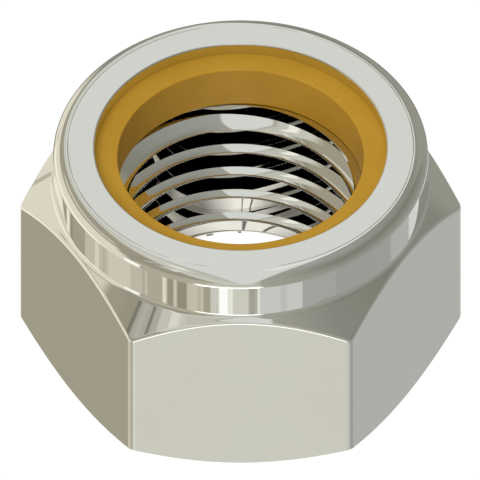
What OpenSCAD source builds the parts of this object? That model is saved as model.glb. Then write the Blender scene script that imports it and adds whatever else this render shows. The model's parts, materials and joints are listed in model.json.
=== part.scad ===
// Hexagon lock nut with a captive nylon ring, thread size 16 mm by 2 mm pitch.
// Millimetres. The origin is the centre of the bearing face, +Z runs up along the
// thread axis to the lip, and two of the six flats face -Y and +Y.

/* [Hexagon] */
// Width across the flats
across_flats = 24; // [22.5:0.5:30]
// Height of the middle of a flat, where the upper chamfer meets it
flat_height = 12.5; // [11:0.1:13]
// Radius along the six upright corners
corner_round = 0.5; // [0.2:0.1:1]
// Slope of the upper chamfer, in degrees from level
top_chamfer_angle = 42; // [30:1:50]
// Slope of the lower chamfer, in degrees from level
base_chamfer_angle = 32; // [15:1:40]
// Step in from a flat to the rim of the bearing face
bearing_step = 0.2; // [0.1:0.05:0.6]

/* [Collar and lip] */
// Overall height, from the bearing face to the top of the lip
nut_height = 16.1; // [15.5:0.1:19]
// Step in from a flat to the round collar
collar_step = 0.25; // [0.1:0.05:0.8]
// Wall of the collar around the locking ring
collar_wall = 1.05; // [0.7:0.05:1.4]
// Fillet between the upper chamfer and the collar
collar_fillet = 0.5; // [0.2:0.05:0.6]
// Thickness of the lip that is rolled over the ring
lip_thickness = 0.86; // [0.6:0.02:1.2]
// Radius of the rolled shoulder outside the lip
shoulder_round = 0.88; // [0.4:0.02:1.2]
// How far the lip covers the ring
lip_reach = 1.57; // [0.8:0.01:2]
// Edge break of the lip around its opening
lip_edge = 0.12; // [0.05:0.01:0.25]

/* [Thread] */
// Outside diameter of the thread
thread_d = 16; // [12:0.5:17]
// Rise of the thread in one turn
thread_pitch = 2; // [1:0.25:2.5]
// Depth of the thread groove
thread_depth = 0.9; // [0.5:0.05:1]
// Width of the flat at the root of the groove
thread_root = 0.25; // [0.1:0.05:0.4]
// Angle at which the thread starts round the hole, in degrees
thread_start = 0; // [0:5:355]
// Rim of the countersink outside the thread
countersink_step = 0.55; // [0.2:0.05:0.8]

/* [Locking ring] */
// Height of the ring
ring_height = 3.04; // [2:0.02:3.6]
// How far the ring's bore stands inside the thread's outside diameter, each side
ring_bite = 0.3; // [0.1:0.05:0.4]
// Edge break of the ring, at its bore and its rim
ring_edge = 0.1; // [0.05:0.01:0.25]
// Gap between the ring's rim and the collar wall
ring_side_gap = 0.05; // [0.02:0.01:0.2]

/* [Hidden] */
$fn = 180;

// Radii
flat_r = across_flats / 2;
corner_r = flat_r / cos(30);
bearing_r = flat_r - bearing_step;
collar_r = flat_r - collar_step;
recess_r = collar_r - collar_wall;
lip_r = recess_r - lip_reach;
thread_r = thread_d / 2;
bore_r = thread_r - thread_depth;
countersink_r = thread_r + countersink_step;
ring_bore_r = thread_r - ring_bite;
ring_r = recess_r - ring_side_gap;

// Heights
recess_top = nut_height - lip_thickness;
recess_floor = recess_top - ring_height;
countersink_h = countersink_r - bore_r;
chamfer_foot = flat_height + collar_step * tan(top_chamfer_angle);
fillet_centre = chamfer_foot
    + collar_fillet * (1 - sin(top_chamfer_angle)) / cos(top_chamfer_angle);

// Turned blank: it reaches past the corners, so that the hexagon cuts its sides
blank_r = corner_r + 1;
blank_base_h = (blank_r - bearing_r) * tan(base_chamfer_angle);
blank_top_h = flat_height - (blank_r - flat_r) * tan(top_chamfer_angle);

// Overlap that lets a cut break cleanly through a face
cut = 1;

// Thread groove: flanks at 60 degrees to each other
flank_angle = 30;
groove_half_root = thread_root / 2;
groove_half_mouth = groove_half_root + (thread_depth + cut / 2) * tan(flank_angle);
turn_steps = 36;
groove_turns = ceil(recess_floor / thread_pitch) + 2;
groove_steps = groove_turns * turn_steps;

// Hexagon with round corners, flats on -Y and +Y: straight sides between the
// tangent points, and a circle in each corner
module hexagon() {
    centre_r = (flat_r - corner_round) / cos(30);
    half_side = (flat_r - corner_round) * tan(30);
    polygon([for (k = [0:5]) for (side = [-1, 1])
        let (a = 60 * k + 30)
        [flat_r * cos(a) - side * half_side * sin(a), flat_r * sin(a) + side * half_side * cos(a)]]);
    for (k = [0:5])
        rotate(60 * k) translate([centre_r, 0]) circle(corner_round);
}

// Section of the blank outside its bores, from the axis out
module blank_section() {
    difference() {
        polygon([
            [0, 0], [bearing_r, 0], [blank_r, blank_base_h], [blank_r, blank_top_h],
            [collar_r, chamfer_foot], [collar_r, nut_height], [0, nut_height]]);
        // Rolled shoulder
        difference() {
            translate([collar_r - shoulder_round, nut_height - shoulder_round])
                square(shoulder_round + cut);
            translate([collar_r - shoulder_round, nut_height - shoulder_round])
                circle(shoulder_round);
        }
    }
    // Fillet at the foot of the collar
    difference() {
        polygon([
            [collar_r - cut / 10, chamfer_foot], [collar_r, chamfer_foot],
            [collar_r + collar_fillet * (1 - sin(top_chamfer_angle)),
                fillet_centre - collar_fillet * cos(top_chamfer_angle)],
            [collar_r + collar_fillet, fillet_centre], [collar_r - cut / 10, fillet_centre]]);
        translate([collar_r + collar_fillet, fillet_centre]) circle(collar_fillet);
    }
}

// Section of everything that is turned out of the middle
module bore_section() {
    polygon([
        [0, -cut], [countersink_r + cut, -cut], [bore_r, countersink_h],
        [bore_r, recess_floor], [recess_r, recess_floor], [recess_r, recess_top],
        [lip_r, recess_top], [lip_r, nut_height - lip_edge],
        [lip_r + lip_edge + cut, nut_height + cut], [0, nut_height + cut]]);
}

// One right-hand groove, as a four-cornered section carried up the helix
module thread_groove() {
    inner_r = bore_r - cut / 2;
    section = [
        [inner_r, -groove_half_mouth], [thread_r, -groove_half_root],
        [thread_r, groove_half_root], [inner_r, groove_half_mouth]];
    points = [for (i = [0:groove_steps]) for (p = section)
        let (a = thread_start + 360 * i / turn_steps, z = thread_pitch * (i / turn_steps - 1.5))
        [p[0] * cos(a), p[0] * sin(a), z + p[1]]];
    sides = [for (i = [0:groove_steps - 1]) for (k = [0:3])
        let (j = (k + 1) % 4)
        each [[4 * i + k, 4 * i + j, 4 * (i + 1) + j], [4 * i + k, 4 * (i + 1) + j, 4 * (i + 1) + k]]];
    last = 4 * groove_steps;
    polyhedron(points, concat([[3, 2, 1, 0]], sides, [[last, last + 1, last + 2, last + 3]]));
}

// Metal body: hexagon, collar, rolled lip and thread in one piece
module nut_body() {
    color([0.80, 0.80, 0.76]) difference() {
        intersection() {
            rotate_extrude() blank_section();
            linear_extrude(nut_height) hexagon();
        }
        rotate_extrude() bore_section();
        thread_groove();
    }
}

// Nylon ring, held between the recess floor and the lip
module locking_ring() {
    color([0.72, 0.54, 0.22]) translate([0, 0, recess_floor]) rotate_extrude()
        polygon([
            [ring_bore_r + ring_edge, 0], [ring_r - ring_edge, 0], [ring_r, ring_edge],
            [ring_r, ring_height - ring_edge], [ring_r - ring_edge, ring_height],
            [ring_bore_r + ring_edge, ring_height], [ring_bore_r, ring_height - ring_edge],
            [ring_bore_r, ring_edge]]);
}

nut_body();
locking_ring();
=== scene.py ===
"""Lock nut with a captive amber nylon ring: the looks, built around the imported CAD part.

Everything is in the part's own frame: the origin is the centre of the bearing face and
+Z runs up the thread axis. Shapes are worked out in millimetres and put into the meshes
in metres.
"""

import json
import math

import bpy
import numpy as np
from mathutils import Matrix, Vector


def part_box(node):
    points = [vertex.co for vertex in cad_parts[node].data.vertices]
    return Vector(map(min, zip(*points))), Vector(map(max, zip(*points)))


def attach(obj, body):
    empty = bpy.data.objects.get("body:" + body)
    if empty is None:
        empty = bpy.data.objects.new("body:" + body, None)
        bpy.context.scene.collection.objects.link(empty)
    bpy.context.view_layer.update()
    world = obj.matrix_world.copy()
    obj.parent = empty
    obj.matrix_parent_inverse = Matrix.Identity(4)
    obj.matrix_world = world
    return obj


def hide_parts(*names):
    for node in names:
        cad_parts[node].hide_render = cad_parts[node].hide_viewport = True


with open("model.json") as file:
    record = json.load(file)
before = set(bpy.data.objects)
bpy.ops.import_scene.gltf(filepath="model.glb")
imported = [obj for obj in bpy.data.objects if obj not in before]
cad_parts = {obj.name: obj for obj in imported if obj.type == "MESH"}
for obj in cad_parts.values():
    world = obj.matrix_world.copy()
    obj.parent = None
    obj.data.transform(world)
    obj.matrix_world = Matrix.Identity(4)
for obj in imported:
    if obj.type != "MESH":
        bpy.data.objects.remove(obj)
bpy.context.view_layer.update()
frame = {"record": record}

MM = 0.001


# Sizes, in millimetres

def mount_radius(name):
    """Radius of one of the record's round mounts."""
    mounts = {mount["name"]: mount for mount in frame["record"]["mounts"]}
    return mounts[name]["dims"]["r_mm"]


body_low, body_high = (np.array(corner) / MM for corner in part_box("nut_body"))
ring_low, ring_high = (np.array(corner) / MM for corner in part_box("locking_ring"))

flat_r = body_high[1]            # from the axis to a flat
nut_height = body_high[2]
corner_round = 0.5               # radius along the six upright corners
top_slope = math.radians(42)     # of the upper chamfer, from level
base_slope = math.radians(32)    # of the lower chamfer, from level
flat_height = 12.5               # middle of a flat, up to the upper chamfer
bearing_r = flat_r - 0.2         # rim of the bearing face
collar_r = flat_r - 0.25
collar_wall = 1.05
recess_r = collar_r - collar_wall
lip_reach = 1.57                 # how far the lip covers the ring
lip_r = recess_r - lip_reach
collar_fillet = 0.5              # at the foot of the collar
shoulder_round = 0.88            # outside the lip
lip_edge = 0.12                  # round the lip's opening, above
lip_underside = 0.05             # round the lip's opening, below
recess_round = 0.04              # in the recess's corners
base_break = 0.15                # along both edges of the lower chamfer
flat_break = 0.4                 # where the flats meet the upper chamfer
witness_half = 0.035             # half the width of the fine line that rolling leaves on the lip
witness_depth = 0.02
witness_round = 0.01             # of the line's edges
witness_r = collar_r - shoulder_round - witness_round

recess_floor = ring_low[2]
recess_top = ring_high[2]
ring_r = ring_high[0]
ring_bore_r = mount_radius("ring_bore")
ring_edge = 0.1                  # edge break of the ring

crest_r = mount_radius("thread")
pitch = 2.0
crest_flat = 0.22                # width of a ridge across its top, before its upper edge is rounded
crest_blend = 0.45               # rounding of a ridge's upper edge
root_blend = 0.03                # rounding of a groove's corners
flank_run = math.tan(math.radians(30))   # height that a flank gains per millimetre of depth
groove_depth = 1.31              # from the crests
root_r = crest_r + groove_depth
countersink_step = 1.45          # from the crests to the countersink's rim
countersink_r = crest_r + countersink_step
countersink_blend = 0.12         # rounding where the thread runs out into the countersink
top_break = 0.15                 # bevel where the thread meets the recess floor
top_blend = 0.04                 # rounding of the bevel's edges

flat_steps = 52                  # columns along a flat
corner_steps = 8                 # columns round an upright corner


# Surfaces

def unit(vectors):
    """The vectors with their length brought to one."""
    return vectors / np.linalg.norm(vectors, axis=-1, keepdims=True)


def hexagon_columns():
    """Azimuth, distance from the axis and facing azimuth of each upright column.

    Along a flat the columns are evenly spaced in the sideways distance t, at azimuth
    facing + atan(t / flat_r). Round a corner they are evenly spaced in facing, on a
    circle of the corner's radius. The last column is the first one again, a turn on.
    """
    half_side = (flat_r - corner_round) * math.tan(math.radians(30))
    centre_r = (flat_r - corner_round) / math.cos(math.radians(30))
    sideways = np.linspace(-half_side, half_side, flat_steps + 1)
    bend = np.radians(np.linspace(0, 60, corner_steps + 1)[1:-1])
    points, facings = [], []
    for side in range(6):
        facing = math.radians(60 * side - 90)
        out = np.array([math.cos(facing), math.sin(facing)])
        along = np.array([-out[1], out[0]])
        centre = centre_r * np.array([math.cos(facing + math.pi / 6), math.sin(facing + math.pi / 6)])
        points.append(flat_r * out + sideways[:, None] * along)
        facings.append(np.full(flat_steps + 1, facing))
        swing = facing + bend
        points.append(centre + corner_round * np.stack([np.cos(swing), np.sin(swing)], 1))
        facings.append(swing)
    points, facings = np.concatenate(points), np.concatenate(facings)
    azimuth = np.unwrap(np.arctan2(points[:, 1], points[:, 0]))
    reach = np.hypot(points[:, 0], points[:, 1])
    whole = 2 * math.pi
    return (
        np.append(azimuth, azimuth[0] + whole),
        np.append(reach, reach[0]),
        np.append(facings, facings[0] + whole),
    )


azimuth, reach, facing = hexagon_columns()


def level(towards):
    """Level unit vector at each column that looks along an azimuth."""
    return np.stack([np.cos(towards), np.sin(towards), 0 * towards], -1)


def turned_profile(corners, rounds, upright=None):
    """Rows of points and normals for a profile carried round the axis.

    corners are (radius, height) at each column. A line's normal lies to the right of its
    direction, but the upright line's looks out of its flat. rounds gives, for each inner
    corner, the radius and the number of steps of the arc that touches both its lines: the
    arc leaves the first line at radius * tan(turn / 2) before the corner. Its normals
    swing evenly from one line's normal to the next.
    """
    columns = len(azimuth)
    corners = np.stack([
        np.stack([np.broadcast_to(value, columns) for value in corner], -1) for corner in corners
    ]).astype(float)
    lines = unit(np.diff(corners, axis=0))
    normals = [
        level(facing) if i == upright else line[:, 1:] * level(azimuth) - line[:, :1] * [0, 0, 1]
        for i, line in enumerate(lines)
    ]
    points, facings = [corners[0]], [normals[0]]
    for i, (radius, steps) in enumerate(rounds):
        before, after, corner = lines[i], lines[i + 1], corners[i + 1]
        cross = before[:, 0] * after[:, 1] - before[:, 1] * after[:, 0]
        turn = np.arctan2(np.abs(cross), (before * after).sum(1))[:, None]
        inward = np.sign(cross)[:, None] * np.stack([-before[:, 1], before[:, 0]], 1)
        start = corner - radius * np.tan(turn / 2) * before
        span = np.arccos(np.clip((normals[i] * normals[i + 1]).sum(1), -1, 1))[:, None]
        for share in np.linspace(0, 1, steps + 1):
            swing = share * turn
            points.append(start + radius * (np.sin(swing) * before + (1 - np.cos(swing)) * inward))
            facings.append(
                (np.sin((1 - share) * span) * normals[i] + np.sin(share * span) * normals[i + 1])
                / np.sin(span)
            )
    points.append(corners[-1])
    facings.append(normals[-1])
    points, facings = np.array(points), np.array(facings)
    return on_columns(points[..., 0], points[..., 1]), unit(facings)


def on_columns(radius, height):
    """Points at each column from their radius and height."""
    return np.stack([radius * np.cos(azimuth), radius * np.sin(azimuth), height], -1)


def smooth_max(a, b, blend):
    """The larger of two values, with the corner between them rounded over a width."""
    near = np.clip(blend - np.abs(a - b), 0, None) / blend
    return np.maximum(a, b) + near**2 * blend / 4


def ridge_top(over):
    """Radius of a ridge's upper side at a height over its tip, before it is set on the crest."""
    flank = crest_r + (over - crest_flat / 2) / flank_run
    return smooth_max(crest_r, flank, crest_blend)


tip_lift = ridge_top(0.0) - crest_r      # what the rounding adds at the tip


def hole_radius(turned, height):
    """Radius of the threaded hole: the larger of the thread and the countersink.

    The thread climbs one pitch a turn, so its shape depends on height / pitch minus the
    share of a turn. Over a ridge's tip the radius grows along the rounded upper side, and
    under it along the straight lower flank, until it stops at the root.
    """
    climb = height / pitch - turned / (2 * math.pi)
    over = (climb - np.round(climb)) * pitch
    ridge = np.maximum(ridge_top(over) - tip_lift, crest_r - over / flank_run)
    thread = -smooth_max(-ridge, -root_r, root_blend)
    bevel = crest_r + top_break - (recess_floor - height)
    return smooth_max(smooth_max(thread, countersink_r - height, countersink_blend), bevel, top_blend)


def hole_rows():
    """Rows of the hole from the recess floor down, each climbing with the thread.

    A row keeps its place across the ridge, so it follows the helix, and it is held
    between the recess floor and the bearing face. The normal is the cross product of the
    surface's slopes round and up, taken by small differences.
    """
    close = 0.008                # rows beside the ridge's sharp tip
    beside = 0.02                # rows beside the corners at the groove's bottom
    rounded = crest_flat / 2 + crest_blend * flank_run
    upper_end = crest_flat / 2 + (root_r - crest_r + tip_lift) * flank_run
    lower_end = pitch - (root_r - crest_r) * flank_run
    across = np.concatenate([
        [0, close], np.linspace(0.03, rounded, 11), np.linspace(rounded, upper_end, 4)[1:-1],
        [upper_end - beside, upper_end + beside, lower_end - beside, lower_end + beside],
        np.linspace(lower_end, pitch, 10)[1:-1], [pitch - close],
    ]) / pitch
    turns = np.arange(-1, math.ceil(recess_floor / pitch) + 2)
    rows = np.sort((turns[:, None] + across).ravel())[::-1]
    height = pitch * (rows[:, None] + azimuth / (2 * math.pi))
    height = np.clip(height, 0, recess_floor)
    kept = [i for i in range(len(height)) if np.ptp(height[i]) > 0]
    height = height[kept[0] - 1:kept[-1] + 2]
    turned = np.broadcast_to(azimuth, height.shape)
    radius = hole_radius(turned, height)
    step = 1e-4
    round_slope = (hole_radius(turned + step, height) - hole_radius(turned - step, height)) / (2 * step)
    rise_slope = (hole_radius(turned, height + step) - hole_radius(turned, height - step)) / (2 * step)
    cos, sin = np.cos(turned), np.sin(turned)
    around = np.stack([round_slope * cos - radius * sin, round_slope * sin + radius * cos, 0 * cos], -1)
    upward = np.stack([rise_slope * cos, rise_slope * sin, 1 + 0 * cos], -1)
    return on_columns(radius, height), -unit(np.cross(around, upward))


def make_piece(name, blocks, replaced, material):
    """One closed mesh from blocks of rows, whose ends meet each other.

    A block is a grid of points with a normal at each. Its faces run row by row, points
    that fall together are made one, and faces that this closes up are dropped or kept as
    triangles. Each face corner keeps the normal of its own block.
    """
    points = np.concatenate([p.reshape(-1, 3) for p, _ in blocks])
    normals = np.concatenate([n.reshape(-1, 3) for _, n in blocks])
    quads, first = [], 0
    for grid, _ in blocks:
        index = first + np.arange(grid.shape[0] * grid.shape[1]).reshape(grid.shape[:2])
        quads.append(np.stack(
            [index[:-1, :-1], index[:-1, 1:], index[1:, 1:], index[1:, :-1]], -1).reshape(-1, 4))
        first += index.size
    quads = np.concatenate(quads)
    _, chosen, joined = np.unique(np.round(points, 5), axis=0, return_index=True, return_inverse=True)
    joined = joined.ravel()
    same = joined[quads] == joined[np.roll(quads, -1, axis=1)]
    folded = (joined[quads[:, :2]] == joined[quads[:, 2:]]).any(1)
    whole, cut = ~folded & (same.sum(1) == 0), ~folded & (same.sum(1) == 1)
    used = np.concatenate([quads[whole].ravel(), quads[cut][~same[cut]]])
    sizes = np.repeat([4, 3], [whole.sum(), cut.sum()])

    mesh = bpy.data.meshes.new(name)
    mesh.vertices.add(len(chosen))
    mesh.vertices.foreach_set("co", (points[chosen] * MM).ravel())
    mesh.loops.add(len(used))
    mesh.loops.foreach_set("vertex_index", joined[used])
    mesh.polygons.add(len(sizes))
    mesh.polygons.foreach_set("loop_start", np.cumsum(sizes) - sizes)
    mesh.polygons.foreach_set("use_smooth", np.ones(len(sizes), bool))
    mesh.update(calc_edges=True)
    mesh.normals_split_custom_set(normals[used].tolist())
    mesh.materials.append(material)
    piece = bpy.data.objects.new(name, mesh)
    bpy.context.scene.collection.objects.link(piece)
    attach(piece, "root")
    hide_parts(replaced)
    return piece


# Shader nodes

class Wire:
    """A socket in a node tree. Python's operators on it add Math nodes."""

    def __init__(self, tree, socket=None):
        self.tree = tree
        self.socket = socket

    def node(self, kind, settings=None, inputs=None, output=0):
        """Adds a node: its settings first, then its sockets' values or links."""
        made = self.tree.nodes.new(kind)
        for name, value in (settings or {}).items():
            if name == "stops":
                for element, (position, colour) in zip(made.color_ramp.elements, value):
                    element.position = position
                    element.color = (*colour, 1)
            else:
                setattr(made, name, value)
        for name, value in (inputs or {}).items():
            if isinstance(value, Wire):
                self.tree.links.new(value.socket, made.inputs[name])
            else:
                made.inputs[name].default_value = value
        return Wire(self.tree, made.outputs[output] if made.outputs else None)

    def math(self, operation, *others, clamp=False):
        """A Math node on this value and others."""
        return self.node(
            "ShaderNodeMath", {"operation": operation, "use_clamp": clamp},
            dict(enumerate((self, *others))),
        )

    def mix(self, other, share):
        """This colour, replaced by another one by a share from 0 to 1."""
        other = other if isinstance(other, Wire) else (*other, 1)
        return self.node("ShaderNodeMix", {"data_type": "RGBA"}, {0: share, 6: self, 7: other}, 2)

    def __add__(self, other):
        return self.math("ADD", other)

    def __radd__(self, other):
        return self.math("ADD", other)

    def __sub__(self, other):
        return self.math("SUBTRACT", other)

    def __rsub__(self, other):
        return (self * -1) + other

    def __mul__(self, other):
        return self.math("MULTIPLY", other)

    def __rmul__(self, other):
        return self.math("MULTIPLY", other)

    def __truediv__(self, other):
        return self.math("DIVIDE", other)

    def __rtruediv__(self, other):
        return self.math("POWER", -1.0) * other

    def ramp(self, start, end):
        """0 at start and before it, 1 at end and past it; start may be the larger."""
        return (self - start).math("MULTIPLY", 1 / (end - start), clamp=True)

    def band(self, low, high, soft):
        """1 between two values and 0 outside them, with soft edges."""
        half = soft / 2
        return self.ramp(low - half, low + half) * self.ramp(high + half, high - half)


def linear(level):
    """Light of a display level from 0 to 255, on the scale from 0 to 1."""
    level = level / 255
    return ((level + 0.055) / 1.055) ** 2.4 if level > 0.04045 else level / 12.92


PLATING = (0.80, 0.79, 0.76)     # share of red, green and blue light that the plating mirrors

# Casts of the studio's light: what red, green and blue add to a display level
WARM = (0, -5, -23)
PLAIN = (0, -1, -13)
COOL = (0, 2, -4)


def shade(level, cast=WARM):
    """Light that the plating shows at this display level and cast when it mirrors it."""
    return tuple(linear(level + shift) / share for shift, share in zip(cast, PLATING))


# Materials

def plated_steel():
    """Bright plating over turned and pressed steel: a mirror with faint tool marks."""
    material = bpy.data.materials.new("bright_plating")
    material.use_nodes = True
    tree = material.node_tree
    tree.nodes.clear()
    start = Wire(tree)
    place = start.node("ShaderNodeTexCoord", output="Object")
    cloud = start.node("ShaderNodeTexNoise", {}, {"Vector": place, "Scale": 260.0, "Detail": 3.0})
    fine = start.node("ShaderNodeTexNoise", {}, {"Vector": place, "Scale": 1900.0, "Detail": 2.0})
    x, y, z = (start.node("ShaderNodeSeparateXYZ", {}, {0: place}, axis) for axis in "XYZ")
    from_axis = (x * x + y * y).math("SQRT")
    marks_at = start.node("ShaderNodeCombineXYZ", {}, {"X": from_axis * 9000.0, "Y": z * 9000.0})
    marks = start.node("ShaderNodeTexNoise", {}, {"Vector": marks_at, "Scale": 1.0, "Detail": 1.0})
    colour = start.node("ShaderNodeMix", {"data_type": "RGBA"}, {
        0: cloud.ramp(0.35, 0.65),
        6: (PLATING[0] * 0.985, PLATING[1] * 0.985, PLATING[2] * 0.98, 1),
        7: (*PLATING, 1),
    }, 2)
    outer = from_axis.ramp(8.6 * MM, 9.0 * MM)
    roughness = 0.012 + outer * (0.016 + cloud.ramp(0.4, 0.7) * 0.02 + fine.ramp(0.5, 0.8) * 0.01)
    relief = (marks * 0.5 + fine * 0.5) * outer
    bump = start.node("ShaderNodeBump", {}, {"Strength": 0.02, "Distance": 0.00001, "Height": relief})
    surface = start.node("ShaderNodeBsdfPrincipled", {}, {
        "Base Color": colour, "Metallic": 1.0, "Roughness": roughness, "Normal": bump,
    })
    start.node("ShaderNodeOutputMaterial", {}, {"Surface": surface})
    return material


def amber_nylon():
    """Moulded nylon: amber, satin, a little cloudy, with fine marks round the bore."""
    material = bpy.data.materials.new("amber_nylon")
    material.use_nodes = True
    tree = material.node_tree
    tree.nodes.clear()
    start = Wire(tree)
    place = start.node("ShaderNodeTexCoord", output="Object")
    cloud = start.node("ShaderNodeTexNoise", {}, {"Vector": place, "Scale": 420.0, "Detail": 3.0})
    fine = start.node("ShaderNodeTexNoise", {}, {"Vector": place, "Scale": 5200.0, "Detail": 2.0})
    colour = start.node("ShaderNodeMix", {"data_type": "RGBA"}, {
        0: cloud.ramp(0.3, 0.7), 6: (0.61, 0.330, 0.030, 1), 7: (0.66, 0.365, 0.038, 1),
    }, 2)
    roughness = 0.42 + fine.ramp(0.3, 0.7) * 0.08
    bump = start.node("ShaderNodeBump", {}, {"Strength": 0.08, "Distance": 0.00002, "Height": fine})
    surface = start.node("ShaderNodeBsdfPrincipled", {}, {
        "Base Color": colour, "Roughness": roughness, "Normal": bump, "Specular IOR Level": 0.15,
    })
    start.node("ShaderNodeOutputMaterial", {}, {"Surface": surface})
    return material


# The nut

chamfer_foot = flat_height + (flat_r - collar_r) * math.tan(top_slope)

outside = turned_profile(
    corners=[
        (countersink_r, 0), (bearing_r, 0),
        (reach, (reach - bearing_r) * math.tan(base_slope)),
        (reach, flat_height - (reach - flat_r) * math.tan(top_slope)),
        (collar_r, chamfer_foot), (collar_r, nut_height),
        (witness_r, nut_height), (witness_r - witness_half, nut_height - witness_depth),
        (witness_r - 2 * witness_half, nut_height),
        (lip_r, nut_height), (lip_r, recess_top), (recess_r, recess_top), (recess_r, recess_floor),
        (hole_radius(azimuth, np.full_like(azimuth, recess_floor)), recess_floor),
    ],
    rounds=[
        (base_break, 3), (base_break, 3), (flat_break, 6), (collar_fillet, 5), (shoulder_round, 12),
        *[(witness_round, 1)] * 3, (lip_edge, 4), (lip_underside, 2), *[(recess_round, 1)] * 2,
    ],
    upright=2,
)
make_piece("nut_metal", [outside, hole_rows()], "nut_body", plated_steel())

ring = turned_profile(
    corners=[
        ((ring_bore_r + ring_r) / 2, recess_floor), (ring_r, recess_floor), (ring_r, recess_top),
        (ring_bore_r, recess_top), (ring_bore_r, recess_floor), ((ring_bore_r + ring_r) / 2, recess_floor),
    ],
    rounds=[(ring_edge, 3)] * 4,
)
make_piece("nylon_ring", [ring], "locking_ring", amber_nylon())


# Studio

paper_light = 1.05               # of the white paper, just past display white
under_nut = 0.02                 # gap in millimetres that keeps the paper clear of the bearing face


def studio_sweep():
    """Plain white floor that curves up into a wall all round, out of the light's way.

    A surface of revolution: level to the bend, a quarter circle, then upright. It is seen
    from its inner side only, so a view from below shows the nut's bearing face.
    """
    floor_r, bend_r, wall = 900.0, 300.0, 500.0
    spokes = 96
    bend = np.radians(np.linspace(0, 90, 13))
    radius = np.concatenate([[0], floor_r + bend_r * np.sin(bend), [floor_r + bend_r]])
    height = np.concatenate([[0], bend_r * (1 - np.cos(bend)), [bend_r + wall]]) - under_nut
    around = np.linspace(0, 2 * math.pi, spokes + 1)[:-1]
    grid = np.stack([
        radius[1:, None] * np.cos(around), radius[1:, None] * np.sin(around),
        np.repeat(height[1:, None], spokes, 1)], -1)
    index = 1 + np.arange(grid.shape[0] * spokes).reshape(-1, spokes)
    beside = np.roll(index, -1, axis=1)
    quads = np.stack([index[:-1], index[1:], beside[1:], beside[:-1]], -1).reshape(-1, 4)
    fan = np.stack([np.zeros(spokes, int), index[0], beside[0]], -1)
    points = np.concatenate([[[0, 0, -under_nut]], grid.reshape(-1, 3)]) * MM
    mesh = bpy.data.meshes.new("studio_sweep")
    mesh.from_pydata(points.tolist(), [], fan.tolist() + quads.tolist(), shade_flat=False)
    material = bpy.data.materials.new("white_paper")
    material.use_nodes = True
    material.node_tree.nodes.clear()
    start = Wire(material.node_tree)
    glow = start.node("ShaderNodeEmission", {}, {"Color": (1, 1, 1, 1), "Strength": paper_light})
    clear = start.node("ShaderNodeBsdfTransparent")
    from_outside = start.node("ShaderNodeNewGeometry", output="Backfacing")
    paper = start.node("ShaderNodeMixShader", {}, {0: from_outside, 1: glow, 2: clear})
    start.node("ShaderNodeOutputMaterial", {}, {"Surface": paper})
    mesh.materials.append(material)
    floor = bpy.data.objects.new("studio_sweep", mesh)
    bpy.context.scene.collection.objects.link(floor)
    floor.visible_diffuse = floor.visible_glossy = floor.visible_shadow = False


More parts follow.
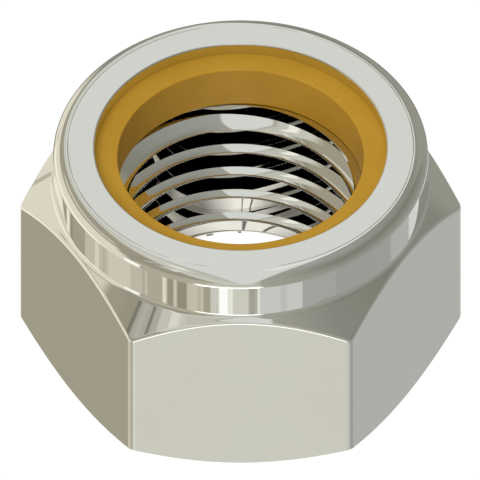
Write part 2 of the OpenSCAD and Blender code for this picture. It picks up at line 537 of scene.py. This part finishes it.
def studio_light():
    """The room round the nut, as light by direction: azimuth, height and the ceiling's plane.

    A grey side to the right, a cream side to the left, a long light panel overhead that
    comes forward, and low strips and flags near the ground, which the collar mirrors.
    """
    world = bpy.data.worlds.new("studio")
    bpy.context.scene.world = world
    world.use_nodes = True
    world.node_tree.nodes.clear()
    start = Wire(world.node_tree)
    direction = start.node("ShaderNodeTexCoord", output="Generated")
    x, y, z = (start.node("ShaderNodeSeparateXYZ", {}, {0: direction}, axis) for axis in "XYZ")
    turned = y.math("ARCTAN2", x) * math.degrees(1)
    raised = z.math("ARCSINE") * math.degrees(1)

    def away(centre):
        """Degrees round from an azimuth, between -180 and 180."""
        return (turned - centre).math("WRAP", 180.0, -180.0)

    def around(centre, half, soft=0.8):
        """Mask of the directions within half a width of an azimuth."""
        return away(centre).math("ABSOLUTE").ramp(half + soft / 2, half - soft / 2)

    def height(low, high, soft=2.0):
        """Mask of the directions between two heights."""
        return raised.band(low, high, soft)

    left = around(158, 48, 8)
    slanted = raised + away(133) * 0.5
    front = around(-97, 19, 4)

    # This isn't a plain studio. The levels and places of what follows were read from the photo,
    # where the polished faces mirror them, and then fitted to it.
    # The ceiling panel lies in a plane overhead: u to the right, v away from the camera
    u, v = x / z, y / z
    edge_left = v.math("MINIMUM", 0.3) * 0.2 - 0.56
    edge_right = 0.205 - v * 0.09
    panel = raised.ramp(2, 6) * (u - edge_left).ramp(-0.03, 0.03) * (edge_right - u).ramp(-0.017, 0.017)

    zones = [
        # Right-hand side, a little lighter to the front and to the back
        (shade(158, PLAIN), around(-78, 23, 42)),
        (shade(146, PLAIN), around(60, 20, 8) * height(-8, 42, 8)),
        # Left-hand side: cream to a little above level, stone above it, silver overhead
        (shade(156), left),
        (shade(218), left * height(-45, 19, 4)),
        (shade(198), left * raised.ramp(56, 61)),
        (shade(208), around(165, 27) * height(29, 35.5)),
        (shade(164), around(165, 27) * height(20.5, 26)),
        (shade(156), around(112, 12) * height(37, 45.8)),
        (shade(150), around(112, 14, 2) * height(-41, -25)),
        (shade(104), around(100, 13, 3) * height(-41.5, -25, 3)),
        (shade(148), around(129.0, 0.25, 0.2) * height(-3, 4)),
        (shade(148), around(129.9, 0.25, 0.2) * height(-3, 4)),
        (shade(238), around(-141, 2, 2) * height(-26, -2)),
        (shade(246), around(157, 25.5, 3) * slanted.band(-22, -6, 3)),
        # Front left: a stone-coloured wall
        (shade(173), around(-128, 22, 4) * raised.ramp(8, 2)),
        (shade(151), around(-132, 28, 4) * height(6, 54, 5)),
        # Front: a pale strip from the floor up to the ceiling panel
        (shade(202, PLAIN), around(-92, 10.5, 7)),
        (shade(186, PLAIN), around(-94, 14, 2) * height(-24, -3, 6)),
        (shade(224, PLAIN), front * height(-38, -25, 4)),
        (shade(350, COOL), front * height(-43, -35)),
        # Ceiling panel, with its seams and brighter tubes
        (shade(198, PLAIN), panel),
        (shade(188, PLAIN), panel * u.band(-0.5, -0.22, 0.05) * v.ramp(-0.1, -0.3)),
        (shade(208, COOL), panel * u.ramp(-0.22, -0.19)),
        (shade(170, PLAIN), panel * u.band(-0.235, -0.195, 0.02)),
        (shade(230, COOL), panel * u.band(0.06, 0.11, 0.02) * v.ramp(0.2, 0.4)),
        (shade(235, PLAIN), panel * u.band(-0.42, -0.33, 0.03) * v.band(-0.4, -0.1, 0.1)),
    ]
    # Bars between the wall and the ceiling, which the chamfer mirrors: azimuth, half width, level
    bars = [
        (-144.5, 6, 168), (-152, 0.8, 118), (-147.5, 0.7, 176), (-143.2, 0.8, 122),
        (-136, 2.8, 192), (-130.5, 2.6, 213),
    ]
    zones += [(shade(level, PLAIN), around(at, half, 0.6) * height(33, 51)) for at, half, level in bars]

    # A small window at the left, which the shoulder and the collar's fillet mirror
    zones.append((shade(250, PLAIN), (away(-158) - (raised + 44) * 0.27).math("ABSOLUTE").ramp(5.6, 4.4)
                  * height(-43, -14, 3)))

    # Strips and flags near the ground, which the collar mirrors: azimuth, half width, level
    low = raised.ramp(-41, -43)
    strips = [
        (0, 60, 154, COOL), (-41, 12, 161, COOL), (27, 11, 170, COOL), (47, 10, 202, COOL),
        (69, 12, 136, PLAIN), (160, 70, 188, WARM), (105, 12, 228, WARM), (119, 3, 250, WARM),
        (130, 4, 153, WARM), (136.5, 2, 226, WARM), (149, 9, 158, WARM), (141.5, 1.6, 143, WARM),
        (170, 2, 210, WARM), (176.5, 1, 178, WARM), (-171, 9, 202, WARM), (-145, 8, 171, WARM),
        (-150.5, 1, 190, WARM), (-138, 1.2, 222, WARM), (-134, 2, 150, WARM), (-130.8, 0.8, 202, WARM),
        (-126.5, 3, 146, WARM), (-118, 5, 194, WARM), (-115.5, 0.8, 180, WARM), (-110.5, 2, 160, WARM),
        (-106, 2.5, 198, PLAIN), (-90, 6.5, 202, PLAIN), (-100.5, 2.8, 252, COOL), (-96, 1.2, 232, PLAIN),
        (-83, 2, 162, PLAIN), (-78.5, 1, 240, PLAIN), (-65, 13.5, 196, COOL), (-63.5, 2, 185, COOL),
    ]
    zones += [(shade(level, cast), around(at, half) * low) for at, half, level, cast in strips]
    zones += [
        (shade(204, PLAIN), raised.ramp(-52, -60)),
        # Dark card behind the nut: each grazing edge mirrors it as a thin dark line
        (shade(112), around(80, 15, 3) * height(-58, -20, 3)),
        # Thin light over the ground, back right: the foot of the rolled shoulder mirrors it
        (shade(252, PLAIN), around(70, 20, 3) * height(-44.6, -41.0, 0.8)),
        # What the camera sees past the floor is paper too
        ((paper_light,) * 3, start.node("ShaderNodeLightPath", output="Is Camera Ray")),
    ]

    # Under it all, a grey that is darkest a little above level
    sky = start.node("ShaderNodeMix", {"data_type": "RGBA"}, {
        0: raised.ramp(28, -46) + raised.ramp(32, 74),
        6: (*shade(125, PLAIN), 1), 7: (*shade(154, COOL), 1),
    }, 2)
    for colour, mask in zones:
        sky = sky.mix(colour, mask)
    light = start.node("ShaderNodeBackground", {}, {"Color": sky, "Strength": 1.0})
    start.node("ShaderNodeOutputWorld", {}, {"Surface": light})


def light_under_hole():
    """The patch of light on the paper under the hole, painted on a glowing disc that is seen only in the
    thread's mirror.

    A glowing disc: bright in a band from front to back, grey beside it, with two thin painted shadows.
    """
    spokes = 64
    around = np.linspace(0, 2 * math.pi, spokes + 1)[:-1]
    rim = countersink_r * np.stack([np.cos(around), np.sin(around), 0 * around], 1)
    points = (np.concatenate([[[0, 0, 0]], rim]) - [0, 0, under_nut / 2]) * MM
    starts = np.arange(1, spokes + 1)
    fan = np.stack([np.zeros(spokes, int), starts, np.roll(starts, -1)], 1)
    mesh = bpy.data.meshes.new("light_patch")
    mesh.from_pydata(points.tolist(), [], fan.tolist())
    material = bpy.data.materials.new("light_patch")
    material.use_nodes = True
    material.node_tree.nodes.clear()
    start = Wire(material.node_tree)
    place = start.node("ShaderNodeTexCoord", output="Object")
    x = start.node("ShaderNodeSeparateXYZ", {}, {0: place}, "X") * (1 / MM)
    lit_half, grey_half = 1.0, 5.5
    colour = start.node("ShaderNodeMix", {"data_type": "RGBA"}, {
        0: x.math("ABSOLUTE").ramp(grey_half, lit_half),
        6: (0.30, 0.30, 0.28, 1),
        7: (1.3, 1.3, 1.27, 1),
    }, 2)
    # Two thin painted shadows across the glowing patch
    colour = colour.mix((0.25, 0.25, 0.24), x.band(-0.08, 0.08, 0.06))
    colour = colour.mix((0.25, 0.22, 0.18), x.band(-1.4, -1.15, 0.08))
    glow = start.node("ShaderNodeEmission", {}, {"Color": colour, "Strength": 1.0})
    start.node("ShaderNodeOutputMaterial", {}, {"Surface": glow})
    mesh.materials.append(material)
    patch = bpy.data.objects.new("light_patch", mesh)
    bpy.context.scene.collection.objects.link(patch)
    patch.visible_camera = patch.visible_diffuse = patch.visible_shadow = False


def soft_box():
    """Large soft lamp overhead that lifts the nylon and leaves no mark in the plating."""
    lamp = bpy.data.lights.new("soft_box", "AREA")
    lamp.shape, lamp.size = "DISK", 0.4
    lamp.energy = 0.9
    box = bpy.data.objects.new("soft_box", lamp)
    x, y, z = place = (-0.12, -0.30, 0.40)
    box.location = place
    box.rotation_euler = (math.atan2(math.hypot(x, y), z), 0.0, math.atan2(y, x) + math.pi / 2)
    bpy.context.scene.collection.objects.link(box)
    box.visible_glossy = box.visible_camera = False


def photo_camera():
    """Parallel view from the front, 44.8 degrees down, framed for a square picture."""
    down = math.radians(44.8)
    picture_width = 480              # pixels of the photo
    pixels_per_mm = 15.978           # the nut's scale in it
    distance = 250.0
    target = np.array([-0.0407, 0.0, 7.878])     # what the picture's middle shows
    back = np.array([0.0, -math.cos(down), math.sin(down)]) * distance
    lens = bpy.data.cameras.new("camera")
    lens.type = "ORTHO"
    lens.ortho_scale = picture_width / pixels_per_mm * MM
    lens.clip_start, lens.clip_end = 0.01, 10.0
    camera = bpy.data.objects.new("camera", lens)
    camera.location = (target + back) * MM
    camera.rotation_euler = (math.pi / 2 - down, 0.0, 0.0)
    bpy.context.scene.collection.objects.link(camera)
    bpy.context.scene.camera = camera


studio_sweep()
studio_light()
light_under_hole()
soft_box()
photo_camera()

scene = bpy.context.scene
scene.view_settings.view_transform = "Standard"
scene.view_settings.look = "None"
scene.cycles.max_bounces = 3
scene.cycles.glossy_bounces = 2
scene.cycles.diffuse_bounces = 2
